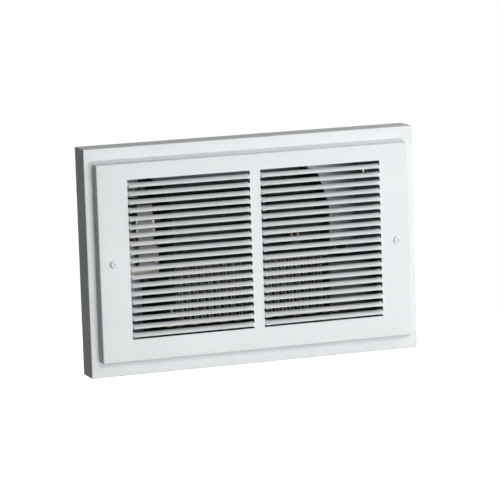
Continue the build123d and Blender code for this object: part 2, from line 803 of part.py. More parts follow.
with BuildPart() as coil_winding:
    with BuildSketch(coil_plane):
        RectangleRounded(cheek_x - 2 * winding_inset, cheek_z - 2 * winding_inset, winding_corner)
        Rectangle(tube_x + 2 * seat_clearance, tube_z + 2 * seat_clearance, mode=Mode.SUBTRACT)
    extrude(amount=bobbin_half - bobbin_wall - seat_clearance, both=True)
coil_winding.part.label = "coil_winding"
export_step(coil_winding.part, "parts/coil_winding.step")

# Rotor and the shaft that carries it and the wheel
with BuildPart() as motor_rotor:
    with BuildSketch(axis_plane.offset(stack_middle)):
        Circle(bore_radius - air_gap)
        Circle(shaft_radius + seat_clearance, mode=Mode.SUBTRACT)
    extrude(amount=stack_length / 2, both=True)
motor_rotor.part.label = "motor_rotor"
export_step(motor_rotor.part, "parts/motor_rotor.step")

inner_crown = stack_right + bracket_rise
outer_crown = stack_left - bracket_rise
inner_bearing_x = inner_crown + bracket_sheet / 2
outer_bearing_x = outer_crown - bracket_sheet / 2
shaft_left = outer_bearing_x - bearing_length / 2 - shaft_overrun
with BuildPart() as motor_shaft:
    with BuildSketch(axis_plane.offset(shaft_left)):
        Circle(shaft_radius)
    extrude(amount=hub_right - shaft_left)
    chamfer(motor_shaft.edges().filter_by(GeomType.CIRCLE), tip_chamfer)
motor_shaft.part.label = "motor_shaft"
export_step(motor_shaft.part, "parts/motor_shaft.step")

# Thrust collars that keep the shaft from wandering between its bearings
inner_collar = inner_bearing_x - bearing_length / 2 - bobbin_gap
outer_collar = outer_bearing_x + bearing_length / 2 + bobbin_gap
with BuildPart() as shaft_collars:
    with BuildSketch(axis_plane.offset(inner_collar)):
        Circle(collar_radius)
        Circle(shaft_radius + seat_clearance, mode=Mode.SUBTRACT)
    extrude(amount=-collar_length)
    with BuildSketch(axis_plane.offset(outer_collar)):
        Circle(collar_radius)
        Circle(shaft_radius + seat_clearance, mode=Mode.SUBTRACT)
    extrude(amount=collar_length)
shaft_collars.part.label = "shaft_collars"
export_step(shaft_collars.part, "parts/shaft_collars.step")

# Bearing brackets: straps bolted to each face of the stack, raised in the middle
foot_half = bolt_offset + bracket_foot / 2
crown_half = bracket_crown / 2


def bracket(side, stack_face):
    """The strap on one face of the stack; side is the way it stands off along X."""
    face = stack_face
    top = stack_face + side * bracket_rise
    skin = side * bracket_sheet
    with BuildPart() as made:
        with BuildSketch(Plane.XY.offset(axis_z)):
            Polygon(
                (face, axis_y - foot_half),
                (face + skin, axis_y - foot_half),
                (face + skin, axis_y - crown_half - abs(skin)),
                (top + skin, axis_y - crown_half),
                (top + skin, axis_y + crown_half),
                (face + skin, axis_y + crown_half + abs(skin)),
                (face + skin, axis_y + foot_half),
                (face, axis_y + foot_half),
                (face, axis_y + crown_half),
                (top, axis_y + crown_half - abs(skin)),
                (top, axis_y - crown_half + abs(skin)),
                (face, axis_y - crown_half),
                align=None,
            )
        extrude(amount=bracket_width / 2, both=True)
        with BuildSketch(axis_plane.offset(stack_face)):
            with GridLocations(2 * bolt_offset, 1, 2, 1):
                Circle(bolt_radius + hole_clearance)
        extrude(amount=skin, mode=Mode.SUBTRACT)
        with BuildSketch(axis_plane.offset(top)):
            Circle(bearing_radius + seat_clearance)
        extrude(amount=skin, mode=Mode.SUBTRACT)
    return made.part


motor_bracket_inner = bracket(1, stack_right)
motor_bracket_inner.label = "motor_bracket_inner"
export_step(motor_bracket_inner, "parts/motor_bracket_inner.step")

motor_bracket_outer = bracket(-1, stack_left)
motor_bracket_outer.label = "motor_bracket_outer"
export_step(motor_bracket_outer, "parts/motor_bracket_outer.step")

with BuildPart() as motor_bearings:
    for x in (inner_bearing_x, outer_bearing_x):
        with BuildSketch(axis_plane.offset(x)):
            Circle(bearing_radius)
            Circle(shaft_radius + running_clearance, mode=Mode.SUBTRACT)
        extrude(amount=bearing_length / 2, both=True)
motor_bearings.part.label = "motor_bearings"
export_step(motor_bearings.part, "parts/motor_bearings.step")

# Through bolts, spacers and nuts that hang the motor on the left end plate
bolt_head_x = stack_left - bracket_sheet
bolt_tip_x = -duct_half + nut_height + thread_clearance
motor_bolt = pan_screw(bolt_radius, bolt_tip_x - bolt_head_x, small_head_radius, small_head_height)
with BuildPart() as motor_screws:
    for y in (axis_y - bolt_offset, axis_y + bolt_offset):
        with Locations(Plane(origin=(bolt_head_x, y, axis_z), z_dir=(1, 0, 0))):
            add(motor_bolt)
motor_screws.part.label = "motor_screws"
export_step(motor_screws.part, "parts/motor_screws.step")

spacer_left = stack_right + bracket_sheet
with BuildPart() as motor_spacers:
    with BuildSketch(axis_plane.offset(spacer_left)):
        with GridLocations(2 * bolt_offset, 1, 2, 1):
            Circle(spacer_radius)
            Circle(bolt_radius + hole_clearance, mode=Mode.SUBTRACT)
    extrude(amount=-plate_outer - spacer_left)
motor_spacers.part.label = "motor_spacers"
export_step(motor_spacers.part, "parts/motor_spacers.step")

with BuildPart() as motor_nuts:
    with BuildSketch(axis_plane.offset(-duct_half)):
        with GridLocations(2 * bolt_offset, 1, 2, 1):
            RegularPolygon(nut_radius, 6)
            Circle(bolt_radius + thread_clearance, mode=Mode.SUBTRACT)
    extrude(amount=nut_height)
motor_nuts.part.label = "motor_nuts"
export_step(motor_nuts.part, "parts/motor_nuts.step")

# Element frame: a band of sheet steel across the outlet
with BuildPart() as element_frame:
    with BuildSketch(facing(element_back)):
        with Locations((0, element_middle_z)):
            Rectangle(2 * element_half, element_height)
            Rectangle(
                2 * (element_half - element_sheet), element_height - 2 * element_sheet, mode=Mode.SUBTRACT
            )
    extrude(amount=element_depth)
    with BuildSketch(Plane.YZ):
        with Locations((element_middle_y, element_middle_z)):
            with GridLocations(1, element_screw_spacing, 1, 2):
                Circle(small_screw_radius + thread_clearance)
        with Locations((element_middle_y, terminal_z)):
            Rectangle(mica_depth - 2 * element_sheet, terminal_window)
    extrude(amount=duct_half, both=True, mode=Mode.SUBTRACT)
element_frame.part.label = "element_frame"
export_step(element_frame.part, "parts/element_frame.step")

# Mica rails, slotted for the two ribbons
rail_width = 2 * (element_half - element_sheet - seat_clearance)
ribbon_rows = (element_middle_y - ribbon_spacing / 2, element_middle_y + ribbon_spacing / 2)


def mica_rail(height, away):
    """A slotted rail whose inner face is at height and whose body lies away from the middle."""
    with BuildPart() as made:
        with BuildSketch(Plane.XY.offset(height)):
            with Locations((0, element_middle_y)):
                Rectangle(rail_width, mica_depth)
                with GridLocations(ribbon_pitch, ribbon_spacing, ribbon_count, 2):
                    Rectangle(
                        ribbon_sheet + 2 * slot_clearance, ribbon_width + 2 * slot_clearance, mode=Mode.SUBTRACT
                    )
        extrude(amount=away * mica_sheet)
    return made.part


mica_rail_upper = mica_rail(mica_top, 1)
mica_rail_upper.label = "mica_rail_upper"
export_step(mica_rail_upper, "parts/mica_rail_upper.step")

mica_rail_lower = mica_rail(mica_bottom, -1)
mica_rail_lower.label = "mica_rail_lower"
export_step(mica_rail_lower, "parts/mica_rail_lower.step")

# Heating ribbons: each runs up and down through the rails and ends on two terminals
loop_top = mica_top + mica_sheet + ribbon_loop
loop_bottom = mica_bottom - mica_sheet - ribbon_loop
end_bottom = mica_bottom - mica_sheet
run_half = (ribbon_count - 1) * ribbon_pitch / 2


def heating_ribbon(y):
    """A ribbon standing at depth y."""
    with BuildPart() as made:
        with BuildSketch(facing(y)):
            with Locations((0, (loop_top + loop_bottom) / 2)):
                with GridLocations(ribbon_pitch, 1, ribbon_count - 2, 1):
                    Rectangle(ribbon_sheet, loop_top - loop_bottom)
            with Locations((0, (loop_top + end_bottom) / 2)):
                with GridLocations(2 * run_half, 1, 2, 1):
                    Rectangle(ribbon_sheet, loop_top - end_bottom)
            with Locations((0, loop_top - ribbon_sheet / 2)):
                with GridLocations(2 * ribbon_pitch, 1, ribbon_count // 2, 1):
                    Rectangle(ribbon_pitch, ribbon_sheet)
            with Locations((0, loop_bottom + ribbon_sheet / 2)):
                with GridLocations(2 * ribbon_pitch, 1, ribbon_count // 2 - 1, 1):
                    Rectangle(ribbon_pitch, ribbon_sheet)
        extrude(amount=ribbon_width / 2, both=True)
    return made.part


heating_ribbon_front = heating_ribbon(ribbon_rows[0])
heating_ribbon_front.label = "heating_ribbon_front"
export_step(heating_ribbon_front, "parts/heating_ribbon_front.step")

heating_ribbon_rear = heating_ribbon(ribbon_rows[1])
heating_ribbon_rear.label = "heating_ribbon_rear"
export_step(heating_ribbon_rear, "parts/heating_ribbon_rear.step")

# Terminal strips under the lower rail, led out through the plates
terminal_middle = run_half - ribbon_sheet + terminal_length / 2
with BuildPart() as element_terminals:
    with BuildSketch(Plane.XY.offset(end_bottom)):
        with Locations((0, element_middle_y)):
            with GridLocations(2 * terminal_middle, ribbon_spacing, 2, 2):
                Rectangle(terminal_length, terminal_width)
    extrude(amount=-terminal_sheet)
element_terminals.part.label = "element_terminals"
export_step(element_terminals.part, "parts/element_terminals.step")

# Screws through the end plates into the element frame
element_screw = hex_screw(plate_sheet + element_gap + element_sheet + tip_reach)
with BuildPart() as element_screws:
    for side in (-1, 1):
        for z in (element_middle_z - element_screw_spacing / 2, element_middle_z + element_screw_spacing / 2):
            with Locations(Plane(origin=(side * plate_outer, element_middle_y, z), z_dir=(-side, 0, 0))):
                add(element_screw)
element_screws.part.label = "element_screws"
export_step(element_screws.part, "parts/element_screws.step")

# Thermal cut-out: a disc thermostat let through the divider, above the element
divider_top = divider_z + scroll_sheet / 2
with BuildPart() as thermal_limit:
    with BuildSketch(Plane.XY.offset(divider_top)):
        with Locations((limit_x, limit_y)):
            SlotOverall(limit_flange_length, limit_flange_width)
            with GridLocations(limit_screw_spacing, 1, 2, 1):
                Circle(limit_screw_radius + hole_clearance, mode=Mode.SUBTRACT)
    extrude(amount=limit_flange_sheet)
    with BuildSketch(Plane.XY.offset(divider_top - 2 * scroll_sheet)):
        with Locations((limit_x, limit_y)):
            Circle(limit_radius)
    extrude(amount=limit_height + 2 * scroll_sheet)
thermal_limit.part.label = "thermal_limit"
export_step(thermal_limit.part, "parts/thermal_limit.step")

with BuildPart() as limit_terminals:
    with BuildSketch(Plane.XY.offset(divider_top + limit_height)):
        with Locations((limit_x, limit_y)):
            with GridLocations(tab_spacing, 1, 2, 1):
                Rectangle(tab_sheet, tab_width)
    extrude(amount=tab_height)
limit_terminals.part.label = "limit_terminals"
export_step(limit_terminals.part, "parts/limit_terminals.step")

limit_screw_length = limit_flange_sheet + scroll_sheet + tip_reach / 2
limit_screw = pan_screw(limit_screw_radius, limit_screw_length, limit_head_radius, limit_head_height)
with BuildPart() as limit_screws:
    for x in (limit_x - limit_screw_spacing / 2, limit_x + limit_screw_spacing / 2):
        with Locations(Plane(origin=(x, limit_y, divider_top + limit_flange_sheet), z_dir=(0, 0, -1))):
            add(limit_screw)
limit_screws.part.label = "limit_screws"
export_step(limit_screws.part, "parts/limit_screws.step")
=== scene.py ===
import json
import math
import bmesh
import bpy
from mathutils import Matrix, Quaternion, Vector


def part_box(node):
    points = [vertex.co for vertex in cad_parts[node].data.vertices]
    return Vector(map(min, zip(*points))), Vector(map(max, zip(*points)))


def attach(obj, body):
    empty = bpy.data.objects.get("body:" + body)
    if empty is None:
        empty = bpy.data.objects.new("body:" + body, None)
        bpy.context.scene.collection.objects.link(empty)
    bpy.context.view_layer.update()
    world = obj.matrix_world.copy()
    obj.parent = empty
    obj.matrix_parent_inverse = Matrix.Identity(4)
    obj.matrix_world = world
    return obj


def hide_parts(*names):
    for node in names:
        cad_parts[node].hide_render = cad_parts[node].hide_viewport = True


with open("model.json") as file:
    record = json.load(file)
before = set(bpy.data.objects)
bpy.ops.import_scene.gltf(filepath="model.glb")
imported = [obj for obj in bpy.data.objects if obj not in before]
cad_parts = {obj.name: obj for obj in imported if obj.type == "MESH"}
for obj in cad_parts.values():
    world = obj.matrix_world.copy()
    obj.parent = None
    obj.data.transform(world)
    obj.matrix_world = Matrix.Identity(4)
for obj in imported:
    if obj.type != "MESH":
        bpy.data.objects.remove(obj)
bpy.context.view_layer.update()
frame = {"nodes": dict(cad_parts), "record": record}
mm = 0.001
scene = bpy.context.scene
print("frame loaded:", len(frame["nodes"]), "nodes")


class Wire:  # a socket that takes part in sums
    def __init__(self, tree, socket):
        self.tree, self.socket = tree, socket

    def sum(self, operation, a, b):
        return self.tree.add("ShaderNodeMath", {"operation": operation}, {0: a, 1: b})

    def __add__(self, other): return self.sum("ADD", self, other)
    def __radd__(self, other): return self.sum("ADD", other, self)
    def __sub__(self, other): return self.sum("SUBTRACT", self, other)
    def __mul__(self, other): return self.sum("MULTIPLY", self, other)
    def __truediv__(self, other): return self.sum("DIVIDE", self, other)
    def atMost(self, limit): return self.sum("MINIMUM", self, limit)


class NodeTree:  # adds nodes to a shader or geometry tree: settings first, then sockets
    def __init__(self, tree):
        self.tree = tree

    def add(self, kind, settings=None, sockets=None, out=0):
        node = self.tree.nodes.new(kind)
        for name, value in (settings or {}).items():
            setattr(node, name, value)
        for name, value in (sockets or {}).items():
            for item in value if isinstance(value, list) else [value]:
                if isinstance(item, Wire):
                    self.tree.links.new(item.socket, node.inputs[name])
                else:
                    node.inputs[name].default_value = item
        return Wire(self, node.outputs[out] if len(node.outputs) else None)


class Finish(NodeTree):  # a material on a Principled shader
    def __init__(self, name):
        self.material = bpy.data.materials.new(name)
        self.material.use_nodes = True
        super().__init__(self.material.node_tree)
        self.shader = self.tree.nodes["Principled BSDF"]
        self.place = self.add("ShaderNodeTexCoord", out=3)  # object coordinates, in metres

    def noise(self, size, detail):  # size in mm
        return self.add("ShaderNodeTexNoise", {}, {
            "Vector": self.place, "Scale": 1 / (size * mm), "Detail": detail})

    def flakes(self, scale, place=None):  # one grey for each cell; scale is cells to a metre
        cell = self.add("ShaderNodeTexVoronoi", {}, {"Vector": place or self.place, "Scale": scale}, out=1)
        return self.add("ShaderNodeRGBToBW", {}, {"Color": cell})

    def blend(self, factor, a, b):  # sockets 6 and 7 are the two colours
        return self.add("ShaderNodeMix", {"data_type": "RGBA"}, {0: factor, 6: (*a, 1.0), 7: (*b, 1.0)}, out=2)

    def bump(self, height, distance):  # distance in mm
        return self.add("ShaderNodeBump", {}, {"Height": height, "Distance": distance * mm})

    def set(self, **values):
        for name, value in values.items():
            socket = self.shader.inputs[name.replace("_", " ")]
            if isinstance(value, Wire):
                self.tree.links.new(value.socket, socket)
            else:
                socket.default_value = value
        return self.material


enamel = {  # baked white paint on the frame, panel and screws; sizes in mm
    "color": (0.800, 0.835, 0.845),
    "shade": (0.770, 0.808, 0.820),
    "roughness": 0.42,
    "specular": 0.28,
    "patch": 45,
    "patchRoughness": 0.12,
    "fleck": 0.5,
    "fleckRoughness": 0.06,
    "fleckHeight": 0.15,
    "peel": 2.2,
    "peelDepth": 0.010,
}


def whiteEnamel():
    paint = Finish("whiteEnamel")
    patch = paint.noise(enamel["patch"], 3.0)
    peel = paint.noise(enamel["peel"], 1.5)
    fleck = paint.noise(enamel["fleck"], 1.0)
    roughness = enamel["roughness"] + (patch - 0.5) * enamel["patchRoughness"]
    return paint.set(
        Base_Color=paint.blend(patch, enamel["color"], enamel["shade"]),
        Roughness=roughness + (fleck - 0.5) * enamel["fleckRoughness"],
        Specular_IOR_Level=enamel["specular"],
        Normal=paint.bump(peel + fleck * enamel["fleckHeight"], enamel["peelDepth"]),
    )


def blackEnamel():  # heat-proof black paint on the blower and element sheets, whose near-black also stands in for the shade inside the heater: painted shade
    paint = Finish("blackEnamel")
    cloud = paint.noise(14, 3.0)
    peel = paint.noise(0.9, 2.0)
    return paint.set(
        # near-black colours: painted shade for the inside seen between the louvres
        Base_Color=paint.blend(cloud, (0.034, 0.035, 0.037), (0.055, 0.056, 0.058)),
        Roughness=0.48 + cloud * 0.14,
        Specular_IOR_Level=0.35,
        Normal=paint.bump(peel, 0.012),
    )


zinc = {  # hot-dip spangle on the can; scales are cells to a metre
    "dark": (0.24, 0.25, 0.26),
    "light": (0.40, 0.41, 0.43),
    "spangle": 110.0,
    "warp": 120.0,
    "warpReach": 0.006,
    "roughness": 0.42,
    "depth": 0.02,
}


def zincSheet():
    sheet = Finish("zincSheet")
    drift = sheet.add("ShaderNodeTexNoise", {}, {"Vector": sheet.place, "Scale": zinc["warp"]}, out=1)
    warped = sheet.add("ShaderNodeVectorMath", {"operation": "MULTIPLY_ADD"}, {
        0: drift, 1: (zinc["warpReach"],) * 3, 2: sheet.place})
    spangle = sheet.flakes(zinc["spangle"], warped)
    fine = sheet.noise(0.8, 2.0)
    haze = sheet.noise(30, 2.0)
    return sheet.set(
        Base_Color=sheet.blend(spangle * 0.7 + haze * 0.3, zinc["dark"], zinc["light"]),
        Metallic=1.0,
        Roughness=zinc["roughness"] + spangle * 0.16 + (fine - 0.5) * 0.1,
        Normal=sheet.bump(spangle + fine * 0.3, zinc["depth"]),
    )


def laminatedSteel():  # stacked sheets along the shaft, varnished
    steel = Finish("laminatedSteel")
    sheet = 0.99  # mm from one joint to the next
    waves = math.tau / 20 / (sheet * mm)  # the node's phase runs at 20 radians to a unit
    joints = steel.add("ShaderNodeTexWave", {}, {
        "Vector": steel.place, "Scale": waves, "Distortion": 0.4, "Detail": 1.0}, out=1)
    grime = steel.noise(4.0, 3.0)
    return steel.set(
        Base_Color=steel.blend(grime, (0.09, 0.085, 0.08), (0.19, 0.185, 0.18)),
        Metallic=0.85,
        Roughness=0.42 + grime * 0.2,
        Normal=steel.bump(joints, 0.06),
    )


def oiledBronze():
    bronze = Finish("oiledBronze")
    pores = bronze.add("ShaderNodeTexVoronoi", {}, {"Vector": bronze.place, "Scale": 2600.0})
    return bronze.set(
        Base_Color=bronze.blend(pores, (0.30, 0.19, 0.09), (0.52, 0.36, 0.17)),
        Metallic=0.9,
        Roughness=0.3 + pores * 0.3,
        Normal=bronze.bump(pores, 0.02),
    )


def pressedMica():  # flakes pressed into sheet, darker than bare mica so the rails read as shade behind the louvres: partly painted shade
    mica = Finish("pressedMica")
    flake = mica.flakes(420.0)
    return mica.set(
        Base_Color=mica.blend(flake, (0.30, 0.26, 0.20), (0.46, 0.42, 0.34)),
        Roughness=0.22 + flake * 0.3,
        Coat_Weight=flake * 0.4,
        Normal=mica.bump(flake, 0.04),
    )


# tint and skin: size of the noise in mm and its detail; roughness: the least, and what skin adds; bump in mm
plainFinishes = {
    "bright_steel": {
        "name": "brightSteel", "tint": (3.0, 2.0), "skin": (0.35, 2.0),
        "colors": ((0.42, 0.42, 0.41), (0.58, 0.58, 0.57)),
        "roughness": (0.24, 0.14), "bump": 0.006, "fixed": {"Metallic": 1.0}},
    "spring_steel": {
        "name": "bluedSteel", "tint": (2.5, 3.0), "skin": (2.5, 3.0),
        "colors": ((0.045, 0.05, 0.07), (0.11, 0.11, 0.12)),
        "roughness": (0.3, 0.15), "bump": 0.01, "fixed": {"Metallic": 0.9}},
    "copper": {
        "name": "bareCopper", "tint": (3.0, 3.0), "skin": (3.0, 3.0),
        "colors": ((0.72, 0.33, 0.18), (0.42, 0.19, 0.11)),
        "roughness": (0.25, 0.25), "bump": 0.01, "fixed": {"Metallic": 1.0}},
    "enamelled_wire": {
        "name": "magnetWire", "tint": (5.0, 2.0), "skin": (5.0, 2.0),
        "colors": ((0.48, 0.15, 0.06), (0.30, 0.08, 0.035)),
        "roughness": (0.22, 0.12), "bump": 0.01, "fixed": {"Metallic": 0.7, "Coat_Weight": 0.6}},
    "bobbin_nylon": {
        "name": "naturalNylon", "tint": (6.0, 2.0), "skin": (0.4, 1.0),
        "colors": ((0.72, 0.68, 0.58), (0.62, 0.58, 0.48)),
        "roughness": (0.42, 0.12), "bump": 0.01,
        "fixed": {"Subsurface_Weight": 0.15, "Subsurface_Scale": 0.002}},
    "black_plastic": {
        "name": "blackPhenolic", "tint": (0.5, 2.0), "skin": (0.5, 2.0),
        "colors": ((0.018, 0.018, 0.019), (0.035, 0.034, 0.033)),
        "roughness": (0.36, 0.2), "bump": 0.02, "fixed": {}},
    "rubber": {
        "name": "mouldedRubber", "tint": (5.0, 2.0), "skin": (0.7, 3.0),
        "colors": ((0.020, 0.020, 0.021), (0.048, 0.047, 0.046)),
        "roughness": (0.62, 0.2), "bump": 0.03, "fixed": {"Specular_IOR_Level": 0.3}},
    "nichrome": {  # with a heat-tinted oxide skin, darkened further so the ribbons read as shade behind the louvres: partly painted shade
        "name": "heatedNichrome", "tint": (9.0, 3.0), "skin": (0.6, 2.0),
        "colors": ((0.11, 0.10, 0.095), (0.19, 0.17, 0.16)),
        "roughness": (0.34, 0.22), "bump": 0.01, "fixed": {"Metallic": 0.9}},
    "brass": {
        "name": "plainBrass", "tint": (2.5, 3.0), "skin": (2.5, 3.0),
        "colors": ((0.56, 0.42, 0.20), (0.38, 0.28, 0.13)),
        "roughness": (0.48, 0.2), "bump": 0.008, "fixed": {"Metallic": 1.0}},
    "green_screw": {
        "name": "greenZinc", "tint": (1.6, 3.0), "skin": (1.6, 3.0),
        "colors": ((0.02, 0.16, 0.06), (0.05, 0.30, 0.11)),
        "roughness": (0.3, 0.2), "bump": 0.01, "fixed": {"Metallic": 0.6, "Coat_Weight": 0.3}},
}


def plainFinish(look):
    finish = Finish(look["name"])
    tint, skin = finish.noise(*look["tint"]), finish.noise(*look["skin"])
    least, spread = look["roughness"]
    return finish.set(
        Base_Color=finish.blend(tint, *look["colors"]),
        Roughness=least + skin * spread,
        Normal=finish.bump(skin, look["bump"]),
        **look["fixed"],
    )


finishes = {
    "white_enamel": whiteEnamel(),
    "black_enamel": blackEnamel(),
    "galvanised": zincSheet(),
    "laminations": laminatedSteel(),
    "sintered_bronze": oiledBronze(),
    "mica": pressedMica(),
    **{slot: plainFinish(look) for slot, look in plainFinishes.items()},
}
slotOf = {piece["node"]: piece["material_slot"] for piece in frame["record"]["subparts"]}
for node, piece in frame["nodes"].items():
    piece.data.materials.clear()
    piece.data.materials.append(finishes[slotOf[node]])
print("finishes on", len(frame["nodes"]), "CAD nodes")


def smoothEdges(mesh, angle=30):
    mesh.shade_smooth()
    mesh.set_sharp_from_angle(angle=math.radians(angle))


def asPiece(name, mesh, body, slot, *nodes):  # a finished mesh becomes a piece of the heater
    piece = bpy.data.objects.new(name, mesh)
    scene.collection.objects.link(piece)
    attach(piece, body)
    if nodes:
        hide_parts(*nodes)


def meshFrom(name, shape):  # shape is a bmesh in metres
    bmesh.ops.recalc_face_normals(shape, faces=shape.faces)
    mesh = bpy.data.meshes.new(name)
    shape.to_mesh(mesh)
    shape.free()
    smoothEdges(mesh)
    return mesh


def bridge(shape, first, second):
    for i in range(len(first)):
        j = (i + 1) % len(first)
        shape.faces.new((first[i], first[j], second[j], second[i]))


def edgesOf(shape, loop):
    made = []
    for i in range(len(loop)):
        pair = (loop[i], loop[(i + 1) % len(loop)])
        made.append(shape.edges.get(pair) or shape.edges.new(pair))
    return made


def circleLoop(shape, x, y, radius, sides):  # corners around an axis along Y
    turns = [math.tau * k / sides for k in range(sides)]
    return [shape.verts.new(((x + radius * math.cos(turn)) * mm, y * mm, radius * math.sin(turn) * mm))
            for turn in turns]


def spun(name, profile, sides):  # a mesh turned about the Y axis from radius and y, with flat ends
    shape = bmesh.new()
    rings = [circleLoop(shape, 0.0, y, radius, sides) for radius, y in profile]
    for first, second in zip(rings, rings[1:]):
        bridge(shape, first, second)
    shape.faces.new(rings[0])
    shape.faces.new(rings[-1])
    return meshFrom(name, shape)


def growTree(name, **inputs):  # an empty geometry tree with named inputs
    tree = bpy.data.node_groups.new(name, "GeometryNodeTree")
    tree.interface.new_socket("Geometry", in_out="INPUT", socket_type="NodeSocketGeometry")
    for label, kind in inputs.items():
        tree.interface.new_socket(label, in_out="INPUT", socket_type="NodeSocket" + kind)
    tree.interface.new_socket("Geometry", in_out="OUTPUT", socket_type="NodeSocketGeometry")
    tree.is_modifier = True
    maker = NodeTree(tree)
    start = tree.nodes.new("NodeGroupInput")
    wires = {socket.name: Wire(maker, socket) for socket in start.outputs if socket.name}
    return maker, wires


def shapeOf(maker, wire):  # the geometry, which is output 4, of an object that comes in by a named input
    return maker.add("GeometryNodeObjectInfo", {}, {"Object": wire}, out=4)


def inRow(maker, item, count, start, step):  # start and step: the axes they have, by name
    first = maker.add("ShaderNodeCombineXYZ", {}, start)
    pitch = maker.add("ShaderNodeCombineXYZ", {}, step)
    line = maker.add("GeometryNodeMeshLine", {}, {"Count": count, "Start Location": first, "Offset": pitch})
    return maker.add("GeometryNodeInstanceOnPoints", {}, {"Points": line, "Instance": item})


def endTree(maker, geometry, paint):
    real = maker.add("GeometryNodeRealizeInstances", {}, {"Geometry": geometry})
    painted = maker.add("GeometryNodeSetMaterial", {}, {"Geometry": real, "Material": paint})
    maker.add("NodeGroupOutput", {}, {"Geometry": painted})


def grow(name, maker, inputs, mesh=None):  # runs a geometry tree and keeps the result as a plain mesh
    seed = bpy.data.objects.new(name, mesh or bpy.data.meshes.new(name + "Seed"))
    scene.collection.objects.link(seed)
    modifier = seed.modifiers.new("grow", "NODES")
    modifier.node_group = maker.tree
    helpers = []
    for item in maker.tree.interface.items_tree:
        if item.item_type == "SOCKET" and item.in_out == "INPUT" and item.name in inputs:
            value = inputs[item.name]
            if isinstance(value, bpy.types.Mesh):  # an object input takes its mesh by a passing helper
                value = bpy.data.objects.new(value.name, value)
                scene.collection.objects.link(value)
                helpers.append(value)
            modifier[item.identifier] = value
    ready = seed.evaluated_get(bpy.context.evaluated_depsgraph_get())
    made = bpy.data.meshes.new_from_object(ready)
    made.name = name
    seed.modifiers.remove(modifier)
    for item in [seed, *helpers]:
        bpy.data.objects.remove(item)
    return made


panel = {  # millimetres, as the CAD panel but for bladeWidth, angle and crown, which follow the photo's light
    "width": 336.5,
    "height": 202.0,
    "face": -39.5,
    "back": -28.5,
    "sheet": 0.9,
    "fold": 1.3,
    "foldSteps": 5,
    "corner": 1.6,
    "cornerSteps": 4,
    "bankX": 70.9,
    "bankWidth": 130.6,
    "bankLift": 2.3,
    "bankHeight": 161.17,
    "topSlot": 1.3,
    "blades": 19,
    "pitch": 8.467,
    "bladeWidth": 7.8,
    "bladeSheet": 0.9,
    "bladeNick": 0.16,
    "angle": 66.0,
    "crown": 0.8,
    "neck": 3.6,
    "neckDrop": 0.5,
    "screwX": 153.5,
    "screwHole": 2.5,
    "screwHoleSides": 24,
}


def outlineLoop(shape, inset, cornerRadius, y):  # the panel's outline with rounded corners, drawn in by inset
    p = panel
    width, height, steps = p["width"] - 2 * inset, p["height"] - 2 * inset, p["cornerSteps"]
    loop = []
    for corner in range(4):
        cx = (width / 2 - cornerRadius) * (1, -1, -1, 1)[corner]
        cz = (height / 2 - cornerRadius) * (1, 1, -1, -1)[corner]
        for step in range(steps + 1):
            turn = math.radians(90 * corner + 90 * step / steps)
            loop.append(shape.verts.new((
                (cx + cornerRadius * math.cos(turn)) * mm, y * mm, (cz + cornerRadius * math.sin(turn)) * mm)))
    return loop


def panelTray():  # the folded sheet with two windows, before its blades
    p = panel
    shape = bmesh.new()
    fold, sheet = p["fold"], p["sheet"]
    outer = []
    for step in range(p["foldSteps"] + 1):
        turn = math.radians(90 * step / p["foldSteps"])
        outer.append(outlineLoop(
            shape, fold * (1 - math.sin(turn)), p["corner"], p["face"] + fold * (1 - math.cos(turn))))
    outer.append(outlineLoop(shape, 0.0, p["corner"], p["back"]))
    inner = [outlineLoop(shape, sheet, p["corner"] - sheet, y) for y in (p["back"], p["face"] + sheet)]
    loops = outer + inner
    for first, second in zip(loops, loops[1:]):
        bridge(shape, first, second)
    half, foot = p["bankWidth"] / 2, p["bankLift"] - p["bankHeight"] / 2
    head = foot + p["bankHeight"] + p["topSlot"]
    holes = []
    for y in (p["face"], p["face"] + sheet):
        found = []
        for side in (-1, 1):
            found.append([shape.verts.new(((side * p["bankX"] + x * half) * mm, y * mm, z * mm))
                          for x, z in ((-1, foot), (1, foot), (1, head), (-1, head))])
            found.append(circleLoop(shape, side * p["screwX"], y, p["screwHole"], p["screwHoleSides"]))
        holes.append(found)
    for front, back in zip(*holes):
        bridge(shape, front, back)
    for loop, found in ((outer[0], holes[0]), (inner[-1], holes[1])):
        edges = edgesOf(shape, loop)
        for hole in found:
            edges += edgesOf(shape, hole)
        bmesh.ops.triangle_fill(shape, edges=edges, use_beauty=True)
    return meshFrom("panelTray", shape)


